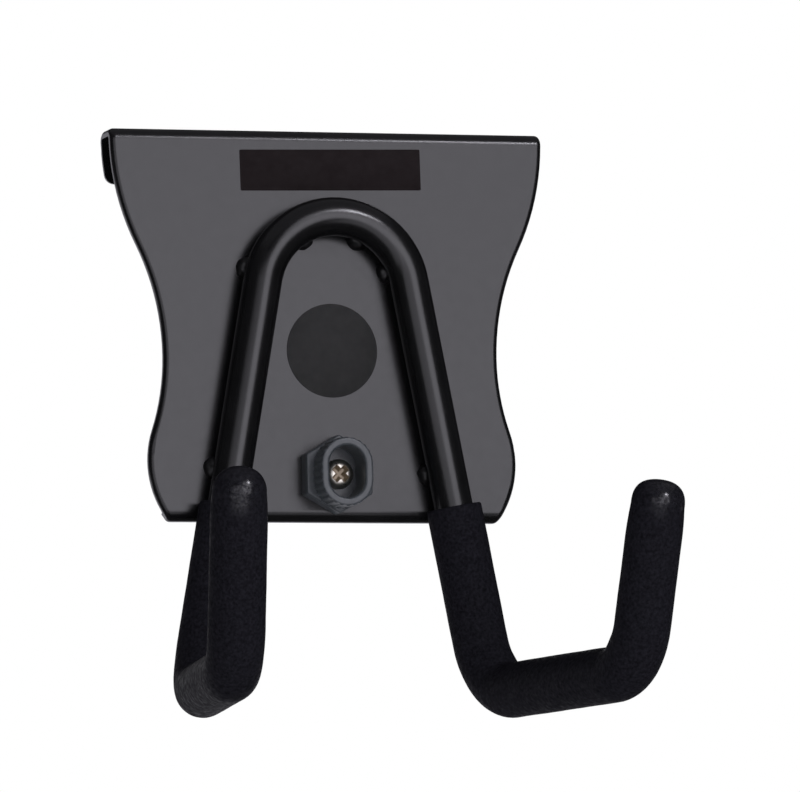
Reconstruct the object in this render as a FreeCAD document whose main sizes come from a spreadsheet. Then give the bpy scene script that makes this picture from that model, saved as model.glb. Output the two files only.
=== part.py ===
# Garage utility hook: a bent sheet back plate with a rail lip, a welded double hook rod
# in soft sleeves, and a quarter-turn lock.
# Millimetres, X to the right, Y to the back, Z up.
# The origin lies on the lip's seat, where the hook hangs on the edge of a rail.
import FreeCAD, Part
import math
import os
import Sketcher
from FreeCAD import Placement, Rotation, Vector

SIZES = (
    ("sheet_thickness", 2.0),
    ("bend_radius", 0.8),
    ("edge_round", 1.3),
    ("slot_gap", 6.5),
    ("lip_drop", 13.0),
    ("lip_corner", 2.5),
    ("plate_height", 96.4),
    ("foot_depth", 5.0),
    ("foot_corner", 1.8),
    ("shoulder_width", 110.6),
    ("shoulder_drop", 1.5),
    ("waist_width", 85.4),
    ("waist_rise", 40.6),
    ("hip_width", 94.0),
    ("hip_rise", 14.7),
    ("hip_radius", 23.8),
    ("rod_diameter", 9.5),
    ("crown_drop", 17.0),
    ("crown_radius", 19.0),
    ("leg_splay", 10.42),
    ("arm_drop", 138.8),
    ("arm_length", 76.4),
    ("arm_splay", 9.3),
    ("knee_radius", 13.2),
    ("elbow_radius", 15.6),
    ("upright_length", 41.0),
    ("upright_forward", 17.8),
    ("upright_outward", 3.0),
    ("bead_radius", 1.7),
    ("bead_inset", 0.8),
    ("leg_bead_rise", 12.4),
    ("sleeve_diameter", 13.6),
    ("sleeve_overlap", 3.0),
    ("sleeve_fit", 0.1),
    ("tip_gap", 0.6),
    ("tip_height", 6.2),
    ("cam_foot_gap", 1.4),
    ("lock_play", 0.1),
    ("hole_diameter", 8.0),
    ("journal_fit", 0.05),
    ("hex_width", 16.8),
    ("hex_thickness", 4.4),
    ("hex_corner", 0.8),
    ("hex_edge", 0.5),
    ("boss_width", 13.3),
    ("boss_straight", 3.7),
    ("boss_height", 6.8),
    ("boss_wall", 2.1),
    ("rim_round", 0.65),
    ("flute_radius", 0.8),
    ("flute_depth", 0.28),
    ("floor_thickness", 2.6),
    ("cam_length", 16.0),
    ("cam_width", 8.5),
    ("cam_thickness", 4.5),
    ("cam_chamfer", 0.8),
    ("screw_diameter", 4.0),
    ("screw_clearance", 0.1),
    ("head_diameter", 7.4),
    ("head_height", 2.6),
    ("head_round", 2.0),
    ("recess_span", 4.6),
    ("recess_width", 1.9),
    ("recess_depth", 1.7),
    ("recess_taper", 20.0),
)

# Weld beads on the crown: angle from the top of the bend, and side of the rod.
CROWN_BEADS = ((27, -1), (68, -1), (73, 1))
FLUTES_PER_END = 12
FLUTES_PER_SIDE = 2

doc = FreeCAD.newDocument("utility_hook")
dims = doc.addObject("Spreadsheet::Sheet", "dims")
for row, (alias, number) in enumerate(SIZES, start=1):
    dims.set(f"A{row}", alias)
    dims.set(f"B{row}", str(number))
    dims.setAlias(f"B{row}", alias)
doc.recompute()

# Places shared by several pieces, as expressions on the sheet.
HALF_GAP = "dims.slot_gap / 2"
FRONT = "-(dims.slot_gap / 2 + dims.sheet_thickness)"
REAR = "dims.slot_gap / 2 + dims.sheet_thickness"
TOP = "dims.sheet_thickness"
FOOT = "dims.sheet_thickness - dims.plate_height"
LOCK_HEIGHT = "2 * dims.sheet_thickness - dims.plate_height + dims.cam_foot_gap + dims.cam_length / 2"
OUTER_BEND = "dims.bend_radius + dims.sheet_thickness"
FLOOR = "dims.floor_thickness"
STACK = "(dims.floor_thickness + dims.sheet_thickness + 2 * dims.lock_play + dims.cam_thickness)"


def size(alias):
    return float(dims.get(alias))


def number(expression):
    return float(dims.evalExpression(expression))


def new_body(name):
    body = doc.addObject("PartDesign::Body", name)
    body.Label = name
    return body


def new_sketch(body, name, plane):
    sketch = body.newObject("Sketcher::SketchObject", name)
    origin_plane = next(item for item in body.Origin.OriginFeatures if item.Role == plane)
    sketch.AttachmentSupport = [(origin_plane, "")]
    sketch.MapMode = "FlatFace"
    return sketch


def bind(sketch, constraint, name, expression):
    index = sketch.addConstraint(constraint)
    sketch.renameConstraint(index, name)
    sketch.setExpression(f"Constraints.{name}", expression)


def place_point(sketch, edge, end, name, across, up):
    bind(sketch, Sketcher.Constraint("DistanceX", -1, 1, edge, end, number(across)), name + "_x", across)
    bind(sketch, Sketcher.Constraint("DistanceY", -1, 1, edge, end, number(up)), name + "_y", up)


def draw_polygon(sketch, corners):
    points = [Vector(number(across), number(up), 0) for across, up in corners]
    first = sketch.GeometryCount
    for start, end in zip(points, points[1:] + points[:1]):
        sketch.addGeometry(Part.LineSegment(start, end))
    for index, (across, up) in enumerate(corners):
        following = first + (index + 1) % len(corners)
        sketch.addConstraint(Sketcher.Constraint("Coincident", first + index, 2, following, 1))
        place_point(sketch, first + index, 1, f"corner{index}", across, up)


def draw_circle(sketch, name, across, up, radius):
    circle = Part.Circle(Vector(number(across), number(up), 0), Vector(0, 0, 1), number(radius))
    edge = sketch.addGeometry(circle)
    bind(sketch, Sketcher.Constraint("Radius", edge, number(radius)), name + "_r", radius)
    place_point(sketch, edge, 3, name, across, up)


def draw_oval(sketch, radius, straight):
    r = number(radius)
    half = number(straight) / 2
    up = Vector(0, half, 0)
    down = Vector(0, -half, 0)
    axis = Vector(0, 0, 1)
    top = sketch.addGeometry(Part.ArcOfCircle(Part.Circle(up, axis, r), 0, math.pi))
    left = sketch.addGeometry(Part.LineSegment(up - Vector(r, 0, 0), down - Vector(r, 0, 0)))
    bottom = sketch.addGeometry(Part.ArcOfCircle(Part.Circle(down, axis, r), math.pi, 2 * math.pi))
    right = sketch.addGeometry(Part.LineSegment(down + Vector(r, 0, 0), up + Vector(r, 0, 0)))
    for one, other in ((top, left), (left, bottom), (bottom, right), (right, top)):
        sketch.addConstraint(Sketcher.Constraint("Tangent", one, 2, other, 1))
    bind(sketch, Sketcher.Constraint("Radius", top, r), "end_r", radius)
    place_point(sketch, top, 3, "upper", "0", f"({straight}) / 2")
    place_point(sketch, bottom, 3, "lower", "0", f"-({straight}) / 2")


def pad(body, sketch, length, backward=False):
    feature = body.newObject("PartDesign::Pad", "pad_" + sketch.Name)
    feature.Profile = sketch
    feature.Reversed = backward
    feature.setExpression("Length", length)
    doc.recompute()
    return feature


def pocket(body, sketch, length=None):
    before = body.Shape.Volume
    feature = body.newObject("PartDesign::Pocket", "cut_" + sketch.Name)
    feature.Profile = sketch
    if length:
        feature.setExpression("Length", length)
    else:
        feature.Type = "ThroughAll"
        feature.SideType = "Symmetric"
    doc.recompute()
    if body.Shape.Volume >= before:
        raise RuntimeError(f"{feature.Name} removes nothing")
    return feature


def round_edges(body, name, radius, wanted, kind="Fillet"):
    feature = body.newObject(f"PartDesign::{kind}", name)
    base = feature.BaseFeature
    picked = [f"Edge{i}" for i, edge in enumerate(base.Shape.Edges, start=1) if wanted(edge)]
    if not picked:
        raise RuntimeError(f"{name} finds no edge")
    feature.Base = (base, picked)
    feature.setExpression("Radius" if kind == "Fillet" else "Size", radius)
    doc.recompute()
    return feature


def near(one, other):
    return abs(one - other) < 1e-4


def along(edge, direction):
    if not isinstance(edge.Curve, Part.Line):
        return False
    return edge.Curve.Direction.cross(direction).Length < 1e-6


def middle(edge):
    return edge.valueAt((edge.FirstParameter + edge.LastParameter) / 2)


def lies_flat(edge, depth):
    return all(near(vertex.Y, depth) for vertex in edge.Vertexes) and near(middle(edge).y, depth)


def boss_reach(edge):
    place = middle(edge)
    above = max(abs(place.z) - size("boss_straight") / 2, 0)
    return math.hypot(place.x, above)


# Back plate: the folded section across the full width, its bends, then the waisted outline.
def make_back_plate():
    body = new_body("back_plate")
    section = new_sketch(body, "folded_section", "YZ_Plane")
    lip_end = "dims.sheet_thickness - dims.lip_drop"
    foot_rear = f"{FRONT} + dims.foot_depth"
    foot_inside = f"{FOOT} + dims.sheet_thickness"
    draw_polygon(section, (
        (FRONT, FOOT), (FRONT, TOP), (REAR, TOP), (REAR, lip_end), (HALF_GAP, lip_end),
        (HALF_GAP, "0"), (f"-{HALF_GAP}", "0"), (f"-{HALF_GAP}", foot_inside),
        (foot_rear, foot_inside), (foot_rear, FOOT),
    ))
    sheet = pad(body, section, "dims.shoulder_width")
    sheet.SideType = "Symmetric"
    doc.recompute()
    outside = [(number(FRONT), number(FOOT)), (number(FRONT), number(TOP)), (number(REAR), number(TOP))]
    inside = [(-number(HALF_GAP), number(foot_inside)), (-number(HALF_GAP), 0), (number(HALF_GAP), 0)]

    def lies_on(edge, corners):
        place = middle(edge)
        return along(edge, Vector(1, 0, 0)) and any(
            near(place.y, y) and near(place.z, z) for y, z in corners)

    round_edges(body, "outer_bends", OUTER_BEND, lambda edge: lies_on(edge, outside))
    round_edges(body, "inner_bends", "dims.bend_radius", lambda edge: lies_on(edge, inside))
    side = pocket(body, draw_side_outline(body))
    both = body.newObject("PartDesign::Mirrored", "both_sides")
    both.Originals = [side]
    mirror = next(item for item in body.Origin.OriginFeatures if item.Role == "YZ_Plane")
    both.MirrorPlane = (mirror, [""])
    body.Tip = both
    doc.recompute()
    hole = new_sketch(body, "lock_hole", "XZ_Plane")
    draw_circle(hole, "hole", "0", LOCK_HEIGHT, "dims.hole_diameter / 2")
    pocket(body, hole)
    lip_level = number(lip_end)
    round_edges(body, "lip_corners", "dims.lip_corner",
                lambda edge: along(edge, Vector(0, 1, 0)) and near(middle(edge).z, lip_level))
    foot_end = number(foot_rear)
    round_edges(body, "foot_corners", "dims.foot_corner", lambda edge: is_foot_corner(edge, foot_end))
    round_edges(body, "rounded_edges", "dims.edge_round", is_front_outline)
    return body


def is_foot_corner(edge, foot_end):
    place = middle(edge)
    above = number(FOOT) < place.z < number(FOOT) + size("sheet_thickness")
    return above and near(place.y, foot_end) and abs(place.x) > size("hole_diameter")


def is_front_outline(edge):
    place = middle(edge)
    outer = abs(place.x) > size("hole_diameter")
    return outer and near(place.y, number(FRONT)) and not along(edge, Vector(1, 0, 0))


# Right-hand outline: two equal arcs from shoulder to waist, then a wide arc into the round hip.
def draw_side_outline(body):
    sketch = new_sketch(body, "side_outline", "XZ_Plane")
    shoulder = "dims.shoulder_width / 2"
    waist = "dims.waist_width / 2"
    hip_centre = "dims.hip_width / 2 - dims.hip_radius"
    shoulder_level = "dims.sheet_thickness - dims.shoulder_drop"
    waist_level = f"{FOOT} + dims.waist_rise"
    hip_level = f"{FOOT} + dims.hip_rise"
    beyond = "dims.sheet_thickness"
    step = number(shoulder) - number(waist)
    fall = number(shoulder_level) - number(waist_level)
    flare = (step ** 2 + fall ** 2) / (4 * step)
    swell = (size("hip_width") - size("waist_width")) / 2
    lower_fall = size("waist_rise") - size("hip_rise")
    sweep = (swell ** 2 + lower_fall ** 2) / (2 * swell) - size("hip_radius")
    axis = Vector(0, 0, 1)
    turn = math.asin(fall / (2 * flare))
    lower_turn = math.asin(lower_fall / (sweep + size("hip_radius")))
    end_level = number(FOOT) - number(beyond)
    end_turn = math.asin((number(hip_level) - end_level) / size("hip_radius"))

    def add_arc(across, up, radius, start, end):
        circle = Part.Circle(Vector(across, up, 0), axis, radius)
        return sketch.addGeometry(Part.ArcOfCircle(circle, start, end))

    upper = add_arc(number(shoulder) - flare, number(shoulder_level), flare, -turn, 0)
    hollow = add_arc(number(waist) + flare, number(waist_level), flare, math.pi - turn, math.pi)
    lower = add_arc(number(waist) + sweep, number(waist_level), sweep, math.pi, math.pi + lower_turn)
    hip = add_arc(number(hip_centre), number(hip_level), size("hip_radius"), -end_turn, lower_turn)
    edge_top = Vector(number(shoulder), number(shoulder_level), 0)
    hip_end = Vector(number(hip_centre) + size("hip_radius") * math.cos(end_turn), end_level, 0)
    outside = number(shoulder) + number(beyond)
    summit = number(TOP) + number(beyond)
    corners = [hip_end, Vector(outside, end_level, 0), Vector(outside, summit, 0),
               Vector(number(shoulder), summit, 0), edge_top]
    lines = [sketch.addGeometry(Part.LineSegment(a, b)) for a, b in zip(corners, corners[1:])]
    base, far, over, drop = lines
    smooth = ((drop, 2, upper, 2), (upper, 1, hollow, 1), (hollow, 2, lower, 1), (lower, 2, hip, 2))
    for one, one_end, other, other_end in smooth:
        sketch.addConstraint(Sketcher.Constraint("Tangent", one, one_end, other, other_end))
    sketch.addConstraint(Sketcher.Constraint("Coincident", hip, 1, base, 1))
    for one, other in zip(lines, lines[1:]):
        sketch.addConstraint(Sketcher.Constraint("Coincident", one, 2, other, 1))
    for line in (base, over):
        sketch.addConstraint(Sketcher.Constraint("Horizontal", line))
    for line in (far, drop):
        sketch.addConstraint(Sketcher.Constraint("Vertical", line))
    sketch.addConstraint(Sketcher.Constraint("Equal", upper, hollow))
    place_point(sketch, drop, 2, "shoulder", shoulder, shoulder_level)
    place_point(sketch, hollow, 2, "waist", waist, waist_level)
    bind(sketch, Sketcher.Constraint("Radius", hip, size("hip_radius")), "hip_r", "dims.hip_radius")
    place_point(sketch, hip, 3, "hip", hip_centre, hip_level)
    place_point(sketch, far, 1, "outer", f"{shoulder} + {beyond}", f"{FOOT} - {beyond}")
    bind(sketch, Sketcher.Constraint("DistanceY", -1, 1, far, 2, summit), "summit", f"{TOP} + {beyond}")
    return sketch


# Rod route: straight stretches that meet at bend corners, given for the right-hand half.
def rod_corners():
    splay = math.radians(size("leg_splay"))
    axis_depth = number(FRONT) - size("rod_diameter") / 2
    crown_top = size("sheet_thickness") - size("crown_drop")
    crown_centre = crown_top - size("rod_diameter") / 2 - size("crown_radius")
    apex = Vector(0, axis_depth, crown_centre + size("crown_radius") / math.sin(splay))
    arm_level = size("sheet_thickness") - size("arm_drop")
    knee = Vector((apex.z - arm_level) * math.tan(splay), axis_depth, arm_level)
    swing = math.radians(size("arm_splay"))
    elbow = knee + Vector(math.sin(swing), -math.cos(swing), 0) * size("arm_length")
    rise = Vector(math.tan(math.radians(size("upright_outward"))),
                  -math.tan(math.radians(size("upright_forward"))), 1).normalize()
    return apex, knee, elbow, elbow + rise * size("upright_length")


def mirrored(point, side):
    return Vector(point.x * side, point.y, point.z)


def bent_wire(points, radii):
    edges = []
    start = points[0]
    for before, corner, after, radius in zip(points, points[1:], points[2:], radii):
        incoming = (corner - before).normalize()
        outgoing = (after - corner).normalize()
        half_turn = incoming.getAngle(outgoing) / 2
        setback = radius * math.tan(half_turn)
        inward = (outgoing - incoming).normalize()
        bend_start = corner - incoming * setback
        bend_end = corner + outgoing * setback
        bend_middle = corner + inward * (radius / math.cos(half_turn) - radius)
        edges.append(Part.LineSegment(start, bend_start).toShape())
        edges.append(Part.Arc(bend_start, bend_middle, bend_end).toShape())
        start = bend_end
    edges.append(Part.LineSegment(start, points[-1]).toShape())
    return Part.Wire(edges)


def sweep_round(name, points, radii, radius):
    route = doc.addObject("Part::Feature", name + "_route")
    route.Shape = bent_wire(points, radii)
    section = doc.addObject("Part::Circle", name + "_section")
    section.setExpression("Radius", radius)
    section.Placement = Placement(points[0], Rotation(Vector(0, 0, 1), points[1] - points[0]))
    bar = doc.addObject("Part::Sweep", name)
    bar.Sections = [section]
    bar.Spine = (route, [f"Edge{i}" for i in range(1, len(route.Shape.Edges) + 1)])
    bar.Solid = True
    doc.recompute()
    return bar


def boolean(kind, name, base, tool):
    result = doc.addObject(f"Part::{kind}", name)
    result.Base = base
    result.Tool = tool
    doc.recompute()
    return result


# Weld beads sit in the notch between the rod and the plate, on both halves.
def make_beads():
    apex = rod_corners()[0]
    splay = math.radians(size("leg_splay"))
    centre = apex.z - size("crown_radius") / math.sin(splay)
    offset = size("rod_diameter") / 2 - size("bead_inset")
    places = []
    for angle, way in CROWN_BEADS:
        reach = size("crown_radius") + way * offset
        turn = math.radians(angle)
        places.append((reach * math.sin(turn), centre + reach * math.cos(turn)))
    leg_level = number(FOOT) + size("leg_bead_rise")
    leg_place = (apex.z - leg_level) * math.tan(splay)
    for reach in (-offset, offset):
        places.append((leg_place + reach * math.cos(splay), leg_level + reach * math.sin(splay)))
    beads = []
    for side in (-1, 1):
        for across, up in places:
            bead = doc.addObject("Part::Sphere", "bead")
            bead.setExpression("Radius", "dims.bead_radius")
            bead.Angle1 = 0
            bead.Placement = Placement(Vector(side * across, number(FRONT), up),
                                       Rotation(Vector(0, 0, 1), Vector(0, -1, 0)))
            beads.append(bead)
    return beads


def make_hook_rod():
    apex, knee, elbow, tip = rod_corners()
    route = [mirrored(point, -1) for point in (tip, elbow, knee)] + [apex, knee, elbow, tip]
    knee_bend = size("knee_radius")
    elbow_bend = size("elbow_radius")
    bends = (elbow_bend, knee_bend, size("crown_radius"), knee_bend, elbow_bend)
    bar = sweep_round("rod_bar", route, bends, "dims.rod_diameter / 2")
    rod = doc.addObject("Part::MultiFuse", "hook_rod")
    rod.Shapes = [bar] + make_beads()
    doc.recompute()
    return rod


# Sleeve: a thick tube from the foot of the plate to a closed, rounded tip beyond the rod's end.
def make_sleeve(name, side):
    apex, knee, elbow, tip = (mirrored(point, side) for point in rod_corners())
    leg = (knee - apex).normalize()
    mouth_level = number(FOOT) + size("sleeve_overlap")
    mouth = apex + leg * ((mouth_level - apex.z) / leg.z)
    lead = mouth - leg * size("sleeve_overlap")
    rise = (tip - elbow).normalize()
    end = tip + rise * size("tip_gap")
    bends = (size("knee_radius"), size("elbow_radius"))
    tube = sweep_round(name + "_tube", (mouth, knee, elbow, end), bends, "dims.sleeve_diameter / 2")
    dome = doc.addObject("Part::Ellipsoid", name + "_dome")
    dome.setExpression("Radius1", "dims.tip_height")
    dome.setExpression("Radius2", "dims.sleeve_diameter / 2")
    dome.Angle1 = 0
    dome.Placement = Placement(end, Rotation(Vector(0, 0, 1), rise))
    bottom = tip + rise * size("sleeve_fit")
    bore_radius = "dims.rod_diameter / 2 + dims.sleeve_fit"
    bore = sweep_round(name + "_bore", (lead, knee, elbow, bottom), bends, bore_radius)
    closed = boolean("Fuse", name + "_closed", tube, dome)
    hollow = boolean("Cut", name + "_hollow", closed, bore)
    flat = doc.addObject("Part::Box", name + "_flat")
    flat.setExpression("Length", "dims.shoulder_width")
    flat.setExpression("Width", "dims.sleeve_diameter")
    flat.setExpression("Height", "2 * dims.sleeve_overlap + dims.sleeve_fit")
    flat.setExpression(".Placement.Base.x", "-dims.shoulder_width / 2")
    flat.setExpression(".Placement.Base.y", f"{FRONT} - dims.sleeve_fit")
    flat.setExpression(".Placement.Base.z", f"{FOOT} - dims.sleeve_fit")
    sleeve = boolean("Cut", name, hollow, flat)
    return sleeve


def place_on_lock_axis(body, depth):
    body.setExpression(".Placement.Base.y", depth)
    body.setExpression(".Placement.Base.z", LOCK_HEIGHT)


# Knob: hexagonal flange, fluted oval boss with a hollow for the screw, and a journal in the plate's hole.
def make_lock_knob():
    body = new_body("lock_knob")
    place_on_lock_axis(body, f"{FRONT} - dims.lock_play")
    flange = new_sketch(body, "hexagon", "XZ_Plane")
    side = "dims.hex_width / 2"
    short = "dims.hex_width / (2 * sqrt(3))"
    long = "dims.hex_width / sqrt(3)"
    draw_polygon(flange, (("0", long), (f"-{side}", short), (f"-{side}", f"-{short}"),
                          ("0", f"-{long}"), (side, f"-{short}"), (side, short)))
    pad(body, flange, "dims.hex_thickness")
    round_edges(body, "hex_corners", "dims.hex_corner", lambda edge: along(edge, Vector(0, 1, 0)))
    hex_face = -size("hex_thickness")
    round_edges(body, "hex_edge", "dims.hex_edge", lambda edge: near(middle(edge).y, hex_face))
    boss = new_sketch(body, "boss", "XZ_Plane")
    boss_radius = "dims.boss_width / 2"
    draw_oval(boss, boss_radius, "dims.boss_straight")
    pad(body, boss, "dims.hex_thickness + dims.boss_height")
    rim = hex_face - size("boss_height")
    round_edges(body, "outer_rim", "dims.rim_round", lambda edge: lies_flat(edge, rim))
    flutes = new_sketch(body, "flutes", "XZ_Plane")
    flutes.setExpression(".AttachmentOffset.Base.z", "dims.hex_thickness + dims.boss_height")
    flute_line = f"({boss_radius} + dims.flute_radius - dims.flute_depth)"
    for end, way in (("upper", 1), ("lower", -1)):
        for index in range(FLUTES_PER_END):
            angle = 180 * (index + 0.5) / FLUTES_PER_END
            across = f"{flute_line} * {math.cos(math.radians(angle)):.6f}"
            up = f"{way} * (dims.boss_straight / 2 + {flute_line} * {math.sin(math.radians(angle)):.6f})"
            draw_circle(flutes, f"{end}{index}", across, up, "dims.flute_radius")
    for end, way in (("right", 1), ("left", -1)):
        for index in range(FLUTES_PER_SIDE):
            share = (index + 0.5) / FLUTES_PER_SIDE - 0.5
            draw_circle(flutes, f"{end}{index}", f"{way} * {flute_line}", f"{share} * dims.boss_straight",
                        "dims.flute_radius")
    pocket(body, flutes, "dims.boss_height")
    hollow = new_sketch(body, "hollow", "XZ_Plane")
    hollow.setExpression(".AttachmentOffset.Base.z", "dims.hex_thickness + dims.boss_height")
    hollow_radius = f"{boss_radius} - dims.boss_wall"
    draw_oval(hollow, hollow_radius, "dims.boss_straight")
    pocket(body, hollow, f"dims.hex_thickness + dims.boss_height - {FLOOR}")
    round_edges(body, "inner_rim", "dims.rim_round",
                lambda edge: lies_flat(edge, rim) and near(boss_reach(edge), number(hollow_radius)))
    journal = new_sketch(body, "journal", "XZ_Plane")
    draw_circle(journal, "journal", "0", "0", "dims.hole_diameter / 2 - dims.journal_fit")
    pad(body, journal, "dims.sheet_thickness + 2 * dims.lock_play", backward=True)
    way_through = new_sketch(body, "screw_way", "XZ_Plane")
    draw_circle(way_through, "way", "0", "0", "dims.screw_diameter / 2 + dims.screw_clearance")
    pocket(body, way_through)
    return body


# Cam: the oblong latch that turns with the knob behind the plate.
def make_lock_cam():
    body = new_body("lock_cam")
    place_on_lock_axis(body, f"-{HALF_GAP} + dims.lock_play")
    shape = new_sketch(body, "oblong", "XZ_Plane")
    draw_oval(shape, "dims.cam_width / 2", "dims.cam_length - dims.cam_width")
    pad(body, shape, "dims.cam_thickness", backward=True)
    rear = size("cam_thickness")
    round_edges(body, "rear_chamfer", "dims.cam_chamfer", lambda edge: near(middle(edge).y, rear), "Chamfer")
    way_through = new_sketch(body, "tapped_way", "XZ_Plane")
    draw_circle(way_through, "way", "0", "0", "dims.screw_diameter / 2 + dims.journal_fit")
    pocket(body, way_through)
    return body


# Screw: pan head with a cross recess, seated on the floor of the knob's hollow.
def make_lock_screw():
    body = new_body("lock_screw")
    place_on_lock_axis(body, f"{FRONT} - dims.lock_play - {FLOOR}")
    profile = new_sketch(body, "half_section", "XY_Plane")
    shank = "dims.screw_diameter / 2"
    head = "dims.head_diameter / 2"
    draw_polygon(profile, (("0", "-dims.head_height"), (head, "-dims.head_height"), (head, "0"),
                           (shank, "0"), (shank, STACK), ("0", STACK)))
    turned = body.newObject("PartDesign::Revolution", "turned")
    turned.Profile = profile
    turned.ReferenceAxis = (profile, ["V_Axis"])
    turned.Angle = 360
    doc.recompute()
    crown = -size("head_height")
    round_edges(body, "head_crown", "dims.head_round", lambda edge: near(middle(edge).y, crown))
    cross = new_sketch(body, "cross_recess", "XZ_Plane")
    cross.AttachmentOffset = Placement(Vector(0, 0, 0), Rotation(Vector(0, 0, 1), 45))
    cross.setExpression(".AttachmentOffset.Base.z", "dims.head_height")
    reach = "dims.recess_span / 2"
    half = "dims.recess_width / 2"
    draw_polygon(cross, (
        (reach, half), (half, half), (half, reach),
        (f"-{half}", reach), (f"-{half}", half), (f"-{reach}", half),
        (f"-{reach}", f"-{half}"), (f"-{half}", f"-{half}"), (f"-{half}", f"-{reach}"),
        (half, f"-{reach}"), (half, f"-{half}"), (reach, f"-{half}"),
    ))
    recess = pocket(body, cross, "dims.recess_depth")
    recess.setExpression("TaperAngle", "-dims.recess_taper")
    doc.recompute()
    return body


pieces = [
    make_back_plate(),
    make_hook_rod(),
    make_sleeve("sleeve_left", -1),
    make_sleeve("sleeve_right", 1),
    make_lock_knob(),
    make_lock_cam(),
    make_lock_screw(),
]
doc.recompute()

for item in doc.Objects:
    if "Invalid" in item.State or "Error" in item.State:
        raise RuntimeError(f"{item.Name} failed")
for piece in pieces:
    if piece.Shape.isNull() or not piece.Shape.isValid():
        raise RuntimeError(f"{piece.Label} has no valid shape")

os.makedirs("parts", exist_ok=True)
for piece in pieces:
    piece.Shape.exportStep(f"parts/{piece.Label}.step")
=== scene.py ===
import math
import bmesh
import bpy
from mathutils import Matrix, Vector, noise


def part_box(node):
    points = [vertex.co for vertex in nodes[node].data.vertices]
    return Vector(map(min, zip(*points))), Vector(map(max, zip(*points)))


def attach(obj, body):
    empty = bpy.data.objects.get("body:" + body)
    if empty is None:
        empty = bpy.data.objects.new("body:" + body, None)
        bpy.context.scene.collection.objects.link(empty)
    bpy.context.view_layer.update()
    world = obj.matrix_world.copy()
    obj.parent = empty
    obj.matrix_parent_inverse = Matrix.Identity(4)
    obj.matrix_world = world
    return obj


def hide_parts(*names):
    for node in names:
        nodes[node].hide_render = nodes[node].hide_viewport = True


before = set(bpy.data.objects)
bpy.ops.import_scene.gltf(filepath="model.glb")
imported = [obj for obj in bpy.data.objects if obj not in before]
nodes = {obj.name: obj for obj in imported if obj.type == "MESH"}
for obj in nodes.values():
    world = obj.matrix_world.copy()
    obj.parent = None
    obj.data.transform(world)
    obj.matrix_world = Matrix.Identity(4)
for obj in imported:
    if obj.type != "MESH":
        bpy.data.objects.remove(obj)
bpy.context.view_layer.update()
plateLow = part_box("back_plate")[0]
plateFront = plateLow.y
plateFoot = plateLow.z
print("frame loaded:", len(nodes), "nodes")


# small helpers for pieces and materials
def finishMesh(bm, name):
    mesh = bpy.data.meshes.new(name)
    bm.to_mesh(mesh)
    bm.free()
    piece = bpy.data.objects.new(name, mesh)
    bpy.context.scene.collection.objects.link(piece)
    for face in mesh.polygons:
        face.use_smooth = True
    return piece


def dress(piece, material):
    piece.data.materials.clear()
    piece.data.materials.append(material)


def newMaterial(name):
    material = bpy.data.materials.new(name)
    material.use_nodes = True
    tree = material.node_tree
    return material, tree, tree.nodes["Principled BSDF"]


def addNode(tree, kind, **settings):
    node = tree.nodes.new(kind)
    for key, value in settings.items():
        setattr(node, key, value)
    return node


def setInputs(node, **values):
    for key, value in values.items():
        node.inputs[key].default_value = value


def link(tree, *pairs):
    for source, target in pairs:
        tree.links.new(source, target)


def useGroup(tree, group, **values):
    node = addNode(tree, "ShaderNodeGroup", node_tree=group)
    setInputs(node, **values)
    return node


def colourRamp(tree, source, low, high):
    ramp = addNode(tree, "ShaderNodeValToRGB")
    ramp.color_ramp.elements[0].color = (*low, 1)
    ramp.color_ramp.elements[1].color = (*high, 1)
    link(tree, (source, ramp.inputs["Fac"]))
    return ramp.outputs["Color"]


def mapRange(tree, source, limits, **settings):
    node = addNode(tree, "ShaderNodeMapRange", **settings)
    node.inputs["From Min"].default_value = limits[0]
    node.inputs["From Max"].default_value = limits[1]
    link(tree, (source, node.inputs["Value"]))
    return node


def combine(tree, operation, first, second):
    node = addNode(tree, "ShaderNodeMath", operation=operation)
    link(tree, (first, node.inputs[0]), (second, node.inputs[1]))
    return node.outputs["Value"]


def mixShaders(tree, share, first, second):
    node = addNode(tree, "ShaderNodeMixShader")
    link(tree, (share, node.inputs["Fac"]), (first, node.inputs[1]), (second, node.inputs[2]))
    return node.outputs["Shader"]


# shared effects: a cloudy spread of values, and a fine grain
effects = dict(
    cloudDetail=4.0, cloudRough=0.55, cloudRange=(0.3, 0.7),
    grainDetail=1.5, grainRough=0.5,
)


def startGroup(name, inputs, output):
    group = bpy.data.node_groups.new(name, "ShaderNodeTree")
    for label in inputs:
        group.interface.new_socket(label, in_out="INPUT", socket_type="NodeSocketFloat")
    group.interface.new_socket(output, in_out="OUTPUT", socket_type="NodeSocketFloat")
    source = addNode(group, "NodeGroupInput")
    target = addNode(group, "NodeGroupOutput")
    place = addNode(group, "ShaderNodeTexCoord")
    return group, source.outputs, target.inputs[output], place.outputs["Object"]


def makeMottleGroup():
    group, source, target, place = startGroup("mottle", ("Scale", "Low", "High"), "Value")
    cloud = addNode(group, "ShaderNodeTexNoise")
    setInputs(cloud, Detail=effects["cloudDetail"], Roughness=effects["cloudRough"])
    spread = mapRange(group, cloud.outputs["Fac"], effects["cloudRange"])
    link(
        group,
        (place, cloud.inputs["Vector"]), (source["Scale"], cloud.inputs["Scale"]),
        (source["Low"], spread.inputs["To Min"]), (source["High"], spread.inputs["To Max"]),
        (spread.outputs["Result"], target),
    )
    return group


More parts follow.
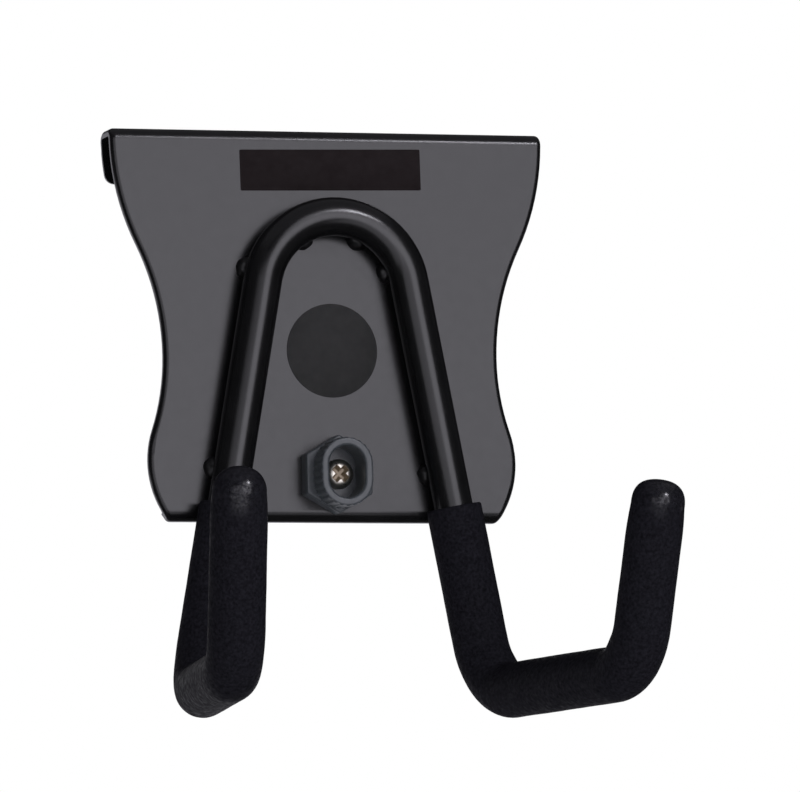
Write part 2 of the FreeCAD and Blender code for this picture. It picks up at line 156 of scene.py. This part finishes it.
def makeGrainGroup():
    group, source, target, place = startGroup("grain", ("Cells", "Cloud", "Share"), "Height")
    cells = addNode(group, "ShaderNodeTexVoronoi", feature="SMOOTH_F1")
    cloud = addNode(group, "ShaderNodeTexNoise")
    setInputs(cloud, Detail=effects["grainDetail"], Roughness=effects["grainRough"])
    mix = addNode(group, "ShaderNodeMix", data_type="FLOAT")
    link(
        group,
        (place, cells.inputs["Vector"]), (place, cloud.inputs["Vector"]),
        (source["Cells"], cells.inputs["Scale"]), (source["Cloud"], cloud.inputs["Scale"]),
        (source["Share"], mix.inputs["Factor"]),
        (cloud.outputs["Fac"], mix.inputs["A"]), (cells.outputs["Distance"], mix.inputs["B"]),
        (mix.outputs["Result"], target),
    )
    return group


mottle = makeMottleGroup()
grain = makeGrainGroup()


def addBump(tree, shader, height, distance):
    bump = addNode(tree, "ShaderNodeBump")
    setInputs(bump, Strength=1.0, Distance=distance)
    link(tree, (height, bump.inputs["Height"]), (bump.outputs["Normal"], shader.inputs["Normal"]))


def addGrain(tree, shader, look):  # uneven roughness and fine relief
    low, high = look["rough"]
    rough = useGroup(tree, mottle, Scale=look["roughScale"], Low=low, High=high)
    link(tree, (rough.outputs["Value"], shader.inputs["Roughness"]))
    bumps = useGroup(tree, grain, Cells=look["cells"], Cloud=look["cloud"], Share=look["share"])
    addBump(tree, shader, bumps.outputs["Height"], look["relief"])


# one finish: two close colours, roughness range, grain
def makeFinish(name, look):
    material, tree, shader = newMaterial(name)
    tint = useGroup(tree, mottle, Scale=look["tintScale"], Low=0.0, High=1.0)
    colour = colourRamp(tree, tint.outputs["Value"], look["dark"], look["light"])
    link(tree, (colour, shader.inputs["Base Color"]))
    addGrain(tree, shader, look)
    shader.inputs["Specular IOR Level"].default_value = look["gloss"]
    return material


steelCoat = makeFinish("steelCoat", dict(
    dark=(0.0030, 0.0030, 0.0033), light=(0.0050, 0.0050, 0.0054), tintScale=160,
    rough=(0.23, 0.27), roughScale=420, gloss=0.7,
    cells=700, cloud=900, share=0.3, relief=0.000006,
))
weldCoat = makeFinish("weldCoat", dict(
    dark=(0.0030, 0.0030, 0.0033), light=(0.0050, 0.0050, 0.0054), tintScale=400,
    rough=(0.36, 0.46), roughScale=900, gloss=0.6,
    cells=1400, cloud=1800, share=0.4, relief=0.00003,
))
knobPlastic = makeFinish("knobPlastic", dict(
    dark=(0.041, 0.048, 0.053), light=(0.060, 0.068, 0.075), tintScale=500,
    rough=(0.28, 0.38), roughScale=900, gloss=0.64,
    cells=2600, cloud=3400, share=0.4, relief=0.00002,
))
camPlastic = makeFinish("camPlastic", dict(
    dark=(0.014, 0.014, 0.015), light=(0.022, 0.022, 0.024), tintScale=500,
    rough=(0.45, 0.58), roughScale=900, gloss=0.5,
    cells=2600, cloud=3400, share=0.4, relief=0.00002,
))
foamSkin = makeFinish("foamSkin", dict(
    dark=(0.0055, 0.0054, 0.0070), light=(0.0152, 0.0149, 0.0190), tintScale=1300,
    rough=(0.40, 0.75), roughScale=800, gloss=0.014,
    cells=900, cloud=1300, share=0.4, relief=0.00009,
))
stripFilm = makeFinish("stripFilm", dict(
    dark=(0.0092, 0.0052, 0.0057), light=(0.0130, 0.0085, 0.0090), tintScale=300,
    rough=(0.60, 0.70), roughScale=700, gloss=0.15,
    cells=900, cloud=1500, share=0.3, relief=0.000004,
))
discFilm = makeFinish("discFilm", dict(
    dark=(0.0145, 0.0145, 0.0140), light=(0.0190, 0.0190, 0.0185), tintScale=300,
    rough=(0.55, 0.65), roughScale=700, gloss=0.3,
    cells=900, cloud=1500, share=0.3, relief=0.000004,
))

# nickel screw; its driver recess is painted a darker, dull brown: painted shade in the recess
screw = dict(
    head=(0.66, 0.63, 0.56), recess=(0.30, 0.235, 0.16), headMetal=1.0, recessMetal=0.2,
    recessReach=(0.0024, 0.0022), recessDepth=(0.00020, 0.00045),  # the painted recess shade fades from the axis and the head's face
    rough=(0.26, 0.38), roughScale=1800, cells=2500, cloud=4000, share=0.3, relief=0.000006,
)


def makeNickel():
    material, tree, shader = newMaterial("screwNickel")
    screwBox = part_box("lock_screw")
    centre = sum(screwBox, Vector()) / 2
    headFace = screwBox[0].y
    place = addNode(tree, "ShaderNodeTexCoord")
    axis = addNode(tree, "ShaderNodeMapping")
    axis.inputs["Location"].default_value = -Vector((centre.x, 0, centre.z))
    split = addNode(tree, "ShaderNodeSeparateXYZ")
    flat = addNode(tree, "ShaderNodeVectorMath", operation="MULTIPLY")
    flat.inputs[1].default_value = (1, 0, 1)
    reach = addNode(tree, "ShaderNodeVectorMath", operation="LENGTH")
    link(
        tree,
        (place.outputs["Object"], axis.inputs["Vector"]), (axis.outputs["Vector"], split.inputs["Vector"]),
        (axis.outputs["Vector"], flat.inputs[0]), (flat.outputs["Vector"], reach.inputs[0]),
    )
    near = mapRange(tree, reach.outputs["Value"], screw["recessReach"])
    deep = mapRange(tree, split.outputs["Y"], [headFace + depth for depth in screw["recessDepth"]])
    recessShadeMask = combine(tree, "MULTIPLY", near.outputs["Result"], deep.outputs["Result"])
    metal = mapRange(tree, recessShadeMask, (0.0, 1.0))
    metal.inputs["To Min"].default_value = screw["headMetal"]
    metal.inputs["To Max"].default_value = screw["recessMetal"]
    # painted shade: the recess takes the darker brown colour and less metal than the head
    colour = colourRamp(tree, recessShadeMask, screw["head"], screw["recess"])
    link(tree, (colour, shader.inputs["Base Color"]), (metal.outputs["Result"], shader.inputs["Metallic"]))
    addGrain(tree, shader, screw)
    return material


screwNickel = makeNickel()
dress(nodes["back_plate"], steelCoat)
dress(nodes["hook_rod"], steelCoat)
dress(nodes["lock_knob"], knobPlastic)
dress(nodes["lock_cam"], camPlastic)
dress(nodes["lock_screw"], screwNickel)
print("finishes set")

# foam sleeves: one grown tube each, along the hook's two bends
sleeve = dict(
    radius=0.0068, bore=0.00488, sides=56, step=0.0008,
    splay=10.42, crownTop=-0.015, crownRadius=0.019, rodRadius=0.00475,
    armLevel=-0.1368, armLength=0.0764, armSplay=9.3, kneeBend=0.0132, elbowBend=0.0156,
    upright=0.0410, forward=17.8, outward=3.0,
    tipGap=0.0006, tipHeight=0.0062, tipSteps=28, taper=0.945, taperRun=0.008,
    tipSquare=dict(sleeve_left=2.2, sleeve_right=2.7),
    endTrim=dict(sleeve_left=0.0013, sleeve_right=-0.0013),  # hand-cut ends
    mouthRise=0.0030, lip=0.0004, lipShare=0.955, boreRun=0.004,
    plateGap=0.0001, footEase=0.0002, footSlope=1.6,
    bulge=0.0008, bulgeAt=0.0026, bulgeWidth=0.0038,
    crease=0.0005, creaseAt=-0.0016, creaseWidth=0.0008, creaseFade=0.0036,
    foldFrom=0.45, foldOver=0.5, foldPower=1.5, foldReach=1.6,
    lumps=0.00006, lumpScale=120, pebbles=0.00002, pebbleScale=500,
    polishShift=(0.0008, -0.0062, 0.0012), polishFade=(0.0078, 0.001),
    polishGrain=1500, polishWeight=1.7, polishRough=0.2,
)


def hookCorners(side):
    splay = math.radians(sleeve["splay"])
    depth = plateFront - sleeve["rodRadius"]
    crown = sleeve["crownTop"] - sleeve["rodRadius"] - sleeve["crownRadius"]
    apex = Vector((0, depth, crown + sleeve["crownRadius"] / math.sin(splay)))
    kneeSide = (apex.z - sleeve["armLevel"]) * math.tan(splay) * side
    knee = Vector((kneeSide, depth, sleeve["armLevel"]))
    swing = math.radians(sleeve["armSplay"])
    elbow = knee + Vector((side * math.sin(swing), -math.cos(swing), 0)) * sleeve["armLength"]
    lean = math.tan(math.radians(sleeve["forward"]))
    spread = math.tan(math.radians(sleeve["outward"]))
    rise = Vector((side * spread, -lean, 1)).normalized()
    return apex, knee, elbow, rise


def tipCentre(side, trim=0.0):
    elbow, rise = hookCorners(side)[2:]
    return elbow + rise * (sleeve["upright"] + sleeve["tipGap"] + trim)


def polishTips(material):  # skin rubbed smooth on the closed ends
    tree = material.node_tree
    shader = tree.nodes["Principled BSDF"]
    spot = tipCentre(1) + Vector(sleeve["polishShift"])
    place = addNode(tree, "ShaderNodeTexCoord")
    mirror = addNode(tree, "ShaderNodeVectorMath", operation="ABSOLUTE")  # both tips at once
    reach = addNode(tree, "ShaderNodeVectorMath", operation="DISTANCE")
    reach.inputs[1].default_value = [abs(value) for value in spot]
    link(tree, (place.outputs["Object"], mirror.inputs[0]), (mirror.outputs["Vector"], reach.inputs[0]))
    near = mapRange(tree, reach.outputs["Value"], sleeve["polishFade"], interpolation_type="SMOOTHSTEP")
    speck = useGroup(tree, mottle, Scale=sleeve["polishGrain"], Low=0.0, High=sleeve["polishWeight"])
    weight = combine(tree, "MULTIPLY", near.outputs["Result"], speck.outputs["Value"])
    link(tree, (weight, shader.inputs["Coat Weight"]))
    shader.inputs["Coat Roughness"].default_value = sleeve["polishRough"]


def openRing(geometry):
    return [item for item in geometry if isinstance(item, bmesh.types.BMEdge) and item.is_boundary]


def ringVerts(ring):
    return list({vert for edge in ring for vert in edge.verts})


def growStep(bm, ring, move):
    ring = openRing(bmesh.ops.extrude_edge_only(bm, edges=ring)["geom"])
    bmesh.ops.translate(bm, verts=ringVerts(ring), vec=move)
    return ring


def growStraight(bm, ring, run):
    steps = max(1, round(run.length / sleeve["step"]))
    for index in range(steps):
        ring = growStep(bm, ring, run / steps)
    return ring


def growBend(bm, ring, bend):
    steps = round(bend["turn"] * bend["radius"] / sleeve["step"])
    spun = bmesh.ops.spin(bm, geom=ring + ringVerts(ring), cent=bend["centre"], axis=bend["axis"],
                          angle=bend["turn"], steps=steps, dvec=(0, 0, 0), use_duplicate=False)
    return openRing(spun["geom_last"])


def resize(bm, ring, centre, share):
    space = Matrix.Translation(-centre)
    bmesh.ops.scale(bm, vec=(share, share, share), space=space, verts=ringVerts(ring))


def growTip(bm, ring, centre, rise, square):
    steps = round(sleeve["taperRun"] / sleeve["step"])
    place, wide = centre - rise * sleeve["taperRun"], 1.0
    for index in range(1, steps + 1):  # slightly drawn in before the dome
        ring = growStep(bm, ring, rise * sleeve["taperRun"] / steps)
        place += rise * sleeve["taperRun"] / steps
        nextWide = 1 - (1 - sleeve["taper"]) * (index / steps) ** 2
        resize(bm, ring, place, nextWide / wide)
        wide = nextWide
    height, wide = 0.0, 1.0
    for index in range(1, sleeve["tipSteps"]):
        angle = math.pi / 2 * index / sleeve["tipSteps"]
        nextHeight = sleeve["tipHeight"] * math.sin(angle) ** (2 / square)
        nextWide = math.cos(angle) ** (2 / square)
        ring = growStep(bm, ring, rise * (nextHeight - height))
        resize(bm, ring, centre + rise * nextHeight, nextWide / wide)
        height, wide = nextHeight, nextWide
    ring = growStep(bm, ring, rise * (sleeve["tipHeight"] - height))
    pole = centre + rise * sleeve["tipHeight"]
    bmesh.ops.pointmerge(bm, verts=ringVerts(ring), merge_co=pole)


def bendAt(corner, incoming, outgoing, radius, upSide):
    turn = incoming.angle(outgoing)
    inward = (outgoing - incoming).normalized()
    centre = corner + inward * (radius / math.cos(turn / 2))
    return dict(turn=turn, radius=radius, centre=centre, axis=incoming.cross(outgoing).normalized(),
                inward=inward, along=(incoming + outgoing).normalized() * upSide,
                setback=radius * math.tan(turn / 2))


def foldBends(bm, bends):  # the upright side swells over a crease on the arm side
    for vert in bm.verts:
        shift = 0.0
        for bend in bends:
            facing = vert.normal.dot(bend["inward"])
            place = (vert.co - bend["centre"]).dot(bend["along"])
            close = (vert.co - bend["centre"]).length < bend["radius"] * sleeve["foldReach"]
            if facing > sleeve["foldFrom"] and close:
                weight = min(1.0, (facing - sleeve["foldFrom"]) / sleeve["foldOver"]) ** sleeve["foldPower"]
                swell = math.exp(-((place - sleeve["bulgeAt"]) / sleeve["bulgeWidth"]) ** 2)
                apart = place - sleeve["creaseAt"]
                pinch = math.exp(-abs(apart) / sleeve["creaseWidth" if apart > 0 else "creaseFade"])
                shift += weight * (sleeve["bulge"] * swell - sleeve["crease"] * pinch)
        vert.co += vert.normal * shift


def roughenFoam(bm):
    for vert in bm.verts:
        lump = noise.noise(vert.co * sleeve["lumpScale"])
        pebble = noise.noise(vert.co * sleeve["pebbleScale"])
        vert.co += vert.normal * (lump * sleeve["lumps"] + pebble * sleeve["pebbles"])


def pressOnPlate(bm):  # flat where the mouth passes in front of the plate
    limit = plateFront - sleeve["plateGap"]
    for vert in bm.verts:
        free = max(0.0, plateFoot - sleeve["footEase"] - vert.co.z) * sleeve["footSlope"]
        vert.co.y = min(vert.co.y, limit + free)


def turnIn(bm, start, mouth, leg):  # softened cut edge, then into the bore
    edge = mouth - leg * sleeve["lip"]
    lip = growStep(bm, start, -leg * sleeve["lip"])
    resize(bm, lip, edge, sleeve["lipShare"])
    lip = growStep(bm, lip, Vector())
    resize(bm, lip, edge, sleeve["bore"] / (sleeve["radius"] * sleeve["lipShare"]))
    growStep(bm, lip, leg * sleeve["boreRun"])


def makeSleeve(name, side):
    apex, knee, elbow, rise = hookCorners(side)
    leg = (knee - apex).normalized()
    arm = (elbow - knee).normalized()
    mouth = apex + leg * ((plateFoot + sleeve["mouthRise"] - apex.z) / leg.z)
    tip = tipCentre(side, sleeve["endTrim"][name])
    lower = bendAt(knee, leg, arm, sleeve["kneeBend"], -1)
    upper = bendAt(elbow, arm, rise, sleeve["elbowBend"], 1)
    bm = bmesh.new()
    facing = Matrix.Translation(mouth) @ leg.to_track_quat("Z", "Y").to_matrix().to_4x4()
    bmesh.ops.create_circle(bm, cap_ends=False, segments=sleeve["sides"], radius=sleeve["radius"],
                            matrix=facing)
    start = list(bm.edges)
    ring = growStraight(bm, start, knee - leg * lower["setback"] - mouth)
    ring = growBend(bm, ring, lower)
    ring = growStraight(bm, ring, (elbow - arm * upper["setback"]) - (knee + arm * lower["setback"]))
    ring = growBend(bm, ring, upper)
    ring = growStraight(bm, ring, tip - rise * sleeve["taperRun"] - (elbow + rise * upper["setback"]))
    growTip(bm, ring, tip, rise, sleeve["tipSquare"][name])
    turnIn(bm, start, mouth, leg)
    bmesh.ops.recalc_face_normals(bm, faces=bm.faces)
    bmesh.ops.subdivide_edges(bm, edges=list(bm.edges), cuts=1, use_grid_fill=True)
    bm.normal_update()
    foldBends(bm, (lower, upper))
    bm.normal_update()
    roughenFoam(bm)
    pressOnPlate(bm)
    piece = finishMesh(bm, name.replace("sleeve", "foam"))
    dress(piece, foamSkin)
    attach(piece, "bracket")
    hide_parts(name)
    print(name, "grown:", len(piece.data.polygons), "faces")


polishTips(foamSkin)
makeSleeve("sleeve_left", -1)
makeSleeve("sleeve_right", 1)

# weld beads in the notch between rod and plate
welds = dict(
    radius=0.0021, stretch=1.25, height=0.95, inset=0.0008, detail=4, lumps=0.0003, lumpScale=700,
    crown=((27, -1), (68, -1), (73, 1)),  # degrees from the top, inner or outer side
    legRise=0.0124, sink=0.0001,
)


def weldPlaces():
    apex = hookCorners(1)[0]
    splay = math.radians(sleeve["splay"])
    centre = apex.z - sleeve["crownRadius"] / math.sin(splay)
    offset = sleeve["rodRadius"] - welds["inset"]
    places = []
    for angle, way in welds["crown"]:
        turn = math.radians(angle)
        reach = sleeve["crownRadius"] + way * offset
        places.append((reach * math.sin(turn), centre + reach * math.cos(turn), turn))
    level = plateFoot + welds["legRise"]
    across = (apex.z - level) * math.tan(splay)
    for reach in (-offset, offset):
        up = level + reach * math.sin(splay)
        places.append((across + reach * math.cos(splay), up, math.pi / 2 - splay))
    return places


def makeWelds():
    bm = bmesh.new()
    shape = Matrix.Diagonal((welds["stretch"], welds["height"], 1, 1))
    for side in (-1, 1):
        for across, up, turn in weldPlaces():
            place = Matrix.Translation((side * across, plateFront, up)) @ Matrix.Rotation(side * turn, 4, "Y")
            bmesh.ops.create_icosphere(bm, subdivisions=welds["detail"], radius=welds["radius"],
                                       matrix=place @ shape)
    bm.normal_update()
    for vert in bm.verts:
        vert.co += vert.normal * (noise.noise(vert.co * welds["lumpScale"]) * welds["lumps"])
    bmesh.ops.bisect_plane(bm, geom=bm.verts[:] + bm.edges[:] + bm.faces[:], clear_outer=True,
                           plane_co=(0, plateFront + welds["sink"], 0), plane_no=(0, 1, 0))
    bmesh.ops.holes_fill(bm, edges=[edge for edge in bm.edges if edge.is_boundary], sides=0)
    bmesh.ops.recalc_face_normals(bm, faces=bm.faces)
    piece = finishMesh(bm, "weld_beads")
    dress(piece, weldCoat)
    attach(piece, "bracket")


makeWelds()
print("welds laid")

# plain films on the plate
films = dict(
    thickness=0.00012, edge=0.00003,
    stripWidth=0.0462, stripHeight=0.0101, stripPlace=(0.0005, -0.0077), stripTilt=0.95, stripCorner=0.0003,
    discRadius=0.01155, discPlace=(0, -0.0523), discSides=96,
)


def raiseFilm(bm, place, tilt):
    raised = bmesh.ops.extrude_face_region(bm, geom=list(bm.faces))["geom"]
    top = [item for item in raised if isinstance(item, bmesh.types.BMVert)]
    bmesh.ops.translate(bm, verts=top, vec=(0, 0, films["thickness"]))
    bmesh.ops.recalc_face_normals(bm, faces=bm.faces)
    rim = [edge for edge in bm.edges if all(vert in top for vert in edge.verts)]
    bmesh.ops.bevel(bm, geom=rim, offset=films["edge"], offset_type="OFFSET", affect="EDGES",
                    segments=2, profile=0.5, material=-1)
    stand = Matrix.Translation((place[0], plateFront, place[1])) @ Matrix.Rotation(math.pi / 2, 4, "X")
    turn = Matrix.Rotation(math.radians(tilt), 4, "Z")
    bmesh.ops.transform(bm, matrix=stand @ turn, verts=bm.verts)


def setFilm(bm, name, material):
    piece = finishMesh(bm, name)
    dress(piece, material)
    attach(piece, "bracket")


def makeStrip():
    bm = bmesh.new()
    bmesh.ops.create_grid(bm, x_segments=1, y_segments=1, size=0.5)
    bmesh.ops.scale(bm, vec=(films["stripWidth"], films["stripHeight"], 1), verts=bm.verts)
    bmesh.ops.bevel(bm, geom=list(bm.verts), offset=films["stripCorner"], offset_type="OFFSET",
                    affect="VERTICES", segments=3, profile=0.5, material=-1)
    raiseFilm(bm, films["stripPlace"], films["stripTilt"])
    setFilm(bm, "top_strip", stripFilm)


def makeDisc():
    bm = bmesh.new()
    bmesh.ops.create_circle(bm, cap_ends=True, segments=films["discSides"], radius=films["discRadius"])
    raiseFilm(bm, films["discPlace"], 0)
    setFilm(bm, "centre_disc", discFilm)


makeStrip()
makeDisc()
print("films laid")

# studio: pale floor, soft panels in front, behind and above, dim fill
studio = dict(
    centre=Vector((0, -0.03, -0.06)), colour=(1.0, 0.98, 1.07),
    wide=dict(azimuth=-8, elevation=2, distance=1.6, width=2.50, height=0.84, radiance=0.74, gloss=True),
    tall=dict(azimuth=15, elevation=8, distance=1.6, width=0.92, height=1.86, radiance=1.17, gloss=True),
    upper=dict(azimuth=26, elevation=31, distance=1.6, width=0.17, height=0.17, radiance=34.0, gloss=True),
    bounce=dict(azimuth=0, elevation=-90, distance=0.42, width=1.20, height=1.20, radiance=0.45, gloss=False),
    rear=dict(azimuth=180, elevation=2, distance=1.6, width=2.50, height=0.84, radiance=0.60, gloss=True),
    ceiling=dict(azimuth=0, elevation=90, distance=1.2, width=2.40, height=2.40, radiance=0.10, gloss=True),
    fill=(0.31, 0.31, 0.325), glossFill=(0.026, 0.026, 0.028),
    backdrop=(0.291, 0.951, 0.105), backdropFade=(0.970, 0.990),  # white where the camera looks past the hook
    floorLevel=-0.5, floorSize=8.0, floorDark=(0.78, 0.78, 0.78), floorLight=(0.82, 0.82, 0.82),
    floorScale=6, floorRough=0.8, floorSeen=(0.86, 0.86, 0.87), floorPale=0.8,
    floorGloss=(0.03, 0.03, 0.03), cardGlow=(0.72, 0.71, 0.77), cardSide=-0.30, cardHalf=0.62,
    cardFade=0.1, cardNear=0.55, rearNear=0.55, rearShare=0.8, nearFade=0.08,
)


def addPanel(name):
    panel = studio[name]
    a, e = math.radians(panel["azimuth"]), math.radians(panel["elevation"])
    outward = Vector((math.sin(a) * math.cos(e), -math.cos(a) * math.cos(e), math.sin(e)))
    lamp = bpy.data.lights.new(name + "Panel", "AREA")
    lamp.shape = "RECTANGLE"
    lamp.size = panel["width"]
    lamp.size_y = panel["height"]
    lamp.color = studio["colour"]
    lamp.energy = panel["radiance"] * math.pi * panel["width"] * panel["height"]
    holder = bpy.data.objects.new(name + "Panel", lamp)
    bpy.context.scene.collection.objects.link(holder)
    holder.location = studio["centre"] + outward * panel["distance"]
    holder.rotation_euler = (-outward).to_track_quat("-Z", "Y").to_euler()
    holder.visible_camera = False
    holder.visible_glossy = panel["gloss"]


def floorGlowInGloss(tree):  # glowing stretches of floor in front and behind, seen only by glossy rays: painted light for the coat to reflect
    place = addNode(tree, "ShaderNodeTexCoord")
    shift = addNode(tree, "ShaderNodeMapping")
    shift.inputs["Location"].default_value = (-studio["cardSide"], 0, 0)
    split = addNode(tree, "ShaderNodeSeparateXYZ")
    aside = addNode(tree, "ShaderNodeMath", operation="ABSOLUTE")
    link(
        tree,
        (place.outputs["Object"], shift.inputs["Vector"]), (shift.outputs["Vector"], split.inputs["Vector"]),
        (split.outputs["X"], aside.inputs[0]),
    )
    half, side = studio["cardHalf"], studio["cardFade"]
    front, back, fade = studio["cardNear"], studio["rearNear"], studio["nearFade"]
    soft = dict(interpolation_type="SMOOTHSTEP")
    across = mapRange(tree, aside.outputs["Value"], (half + side, half - side), **soft)
    ahead = mapRange(tree, split.outputs["Y"], (-front + fade, -front - fade), **soft)
    past = mapRange(tree, split.outputs["Y"], (back - fade, back + fade), **soft)
    past.inputs["To Max"].default_value = studio["rearShare"]
    card = combine(tree, "MULTIPLY", across.outputs["Result"], ahead.outputs["Result"])
    either = combine(tree, "MAXIMUM", card, past.outputs["Result"])
    # painted light: in these stretches the floor glows brighter, for glossy rays only
    shade = addNode(tree, "ShaderNodeMix", data_type="RGBA")
    setInputs(shade, A=(*studio["floorGloss"], 1), B=(*studio["cardGlow"], 1))
    link(tree, (either, shade.inputs["Factor"]))
    return shade.outputs["Result"]


def makeFloor():
    bm = bmesh.new()
    bmesh.ops.create_grid(bm, x_segments=8, y_segments=8, size=studio["floorSize"] / 2)
    bmesh.ops.translate(bm, verts=bm.verts, vec=(0, 0, studio["floorLevel"]))
    floor = finishMesh(bm, "floor")
    material, tree, shader = newMaterial("floorPaint")
    tint = useGroup(tree, mottle, Scale=studio["floorScale"], Low=0.0, High=1.0)
    colour = colourRamp(tree, tint.outputs["Value"], studio["floorDark"], studio["floorLight"])
    link(tree, (colour, shader.inputs["Base Color"]))
    shader.inputs["Roughness"].default_value = studio["floorRough"]
    path = addNode(tree, "ShaderNodeLightPath")
    pale = addNode(tree, "ShaderNodeEmission")  # keeps the floor pale where the panels don't reach
    pale.inputs["Color"].default_value = (*studio["floorSeen"], 1)
    share = addNode(tree, "ShaderNodeMath", operation="MULTIPLY")
    share.inputs[1].default_value = studio["floorPale"]
    dim = addNode(tree, "ShaderNodeEmission")
    link(tree, (path.outputs["Is Camera Ray"], share.inputs[0]), (floorGlowInGloss(tree), dim.inputs["Color"]))
    seen = mixShaders(tree, share.outputs["Value"], shader.outputs["BSDF"], pale.outputs["Emission"])
    # glossy rays see the floor's painted glow, not its lit colour
    surface = mixShaders(tree, path.outputs["Is Glossy Ray"], seen, dim.outputs["Emission"])
    link(tree, (surface, tree.nodes["Material Output"].inputs["Surface"]))
    dress(floor, material)


def makeWorld():
    world = bpy.data.worlds.new("studioWorld")
    bpy.context.scene.world = world
    world.use_nodes = True
    tree = world.node_tree
    tree.nodes.clear()
    path = addNode(tree, "ShaderNodeLightPath")
    place = addNode(tree, "ShaderNodeTexCoord")
    toward = addNode(tree, "ShaderNodeVectorMath", operation="DOT_PRODUCT")
    toward.inputs[1].default_value = studio["backdrop"]
    behind = mapRange(tree, toward.outputs["Value"], studio["backdropFade"], interpolation_type="SMOOTHSTEP")
    glossColour = addNode(tree, "ShaderNodeMix", data_type="RGBA")
    setInputs(glossColour, A=(*studio["glossFill"], 1), B=(1, 1, 1, 1))
    fill = addNode(tree, "ShaderNodeBackground")
    fill.inputs["Color"].default_value = (*studio["fill"], 1)
    glossy = addNode(tree, "ShaderNodeBackground")
    white = addNode(tree, "ShaderNodeBackground")
    white.inputs["Color"].default_value = (1, 1, 1, 1)
    link(
        tree,
        (place.outputs["Generated"], toward.inputs[0]),
        (behind.outputs["Result"], glossColour.inputs["Factor"]),
        (glossColour.outputs["Result"], glossy.inputs["Color"]),
    )
    unseen = mixShaders(tree, path.outputs["Is Glossy Ray"], fill.outputs["Background"],
                        glossy.outputs["Background"])
    seen = combine(tree, "MAXIMUM", path.outputs["Is Camera Ray"], path.outputs["Is Transmission Ray"])
    output = addNode(tree, "ShaderNodeOutputWorld")
    link(tree, (mixShaders(tree, seen, unseen, white.outputs["Background"]), output.inputs["Surface"]))


makeFloor()
makeWorld()
for panelName in ("wide", "tall", "upper", "bounce", "rear", "ceiling"):
    addPanel(panelName)
print("studio lit")

# camera: a long lens, low and to the left
shot = dict(
    target=Vector((0, plateFront, -0.0454)), targetPixel=(331.4, 322.7), image=(800, 792),
    azimuth=-17.0, elevation=-6.08, roll=-1.16, distance=2.4,
    pixelsPerMetre=4080.0, sensor=36.0, farthest=50,
)


def makeCamera():
    a, e, r = (math.radians(shot[key]) for key in ("azimuth", "elevation", "roll"))
    back = Vector((math.sin(a) * math.cos(e), -math.cos(a) * math.cos(e), math.sin(e)))
    right = Vector((math.cos(a), math.sin(a), 0))
    up = back.cross(right)
    right, up = right * math.cos(r) + up * math.sin(r), up * math.cos(r) - right * math.sin(r)
    across = (shot["image"][0] / 2 - shot["targetPixel"][0]) / shot["pixelsPerMetre"]
    down = (shot["image"][1] / 2 - shot["targetPixel"][1]) / shot["pixelsPerMetre"]
    aim = shot["target"] + right * across - up * down
    place = shot["target"] + back * shot["distance"]
    zAxis = (place - aim).normalized()
    yAxis = zAxis.cross(right).normalized()
    xAxis = yAxis.cross(zAxis)
    lens = bpy.data.cameras.new("camera")
    lens.sensor_width = shot["sensor"]
    lens.sensor_fit = "HORIZONTAL"
    lens.lens = shot["pixelsPerMetre"] * shot["distance"] / shot["image"][0] * shot["sensor"]
    lens.clip_end = shot["farthest"]
    camera = bpy.data.objects.new("camera", lens)
    bpy.context.scene.collection.objects.link(camera)
    turn = Matrix((xAxis, yAxis, zAxis)).transposed().to_4x4()
    camera.matrix_world = Matrix.Translation(place) @ turn
    bpy.context.scene.camera = camera


makeCamera()
bpy.context.scene.view_settings.view_transform = "Standard"
print("camera set")
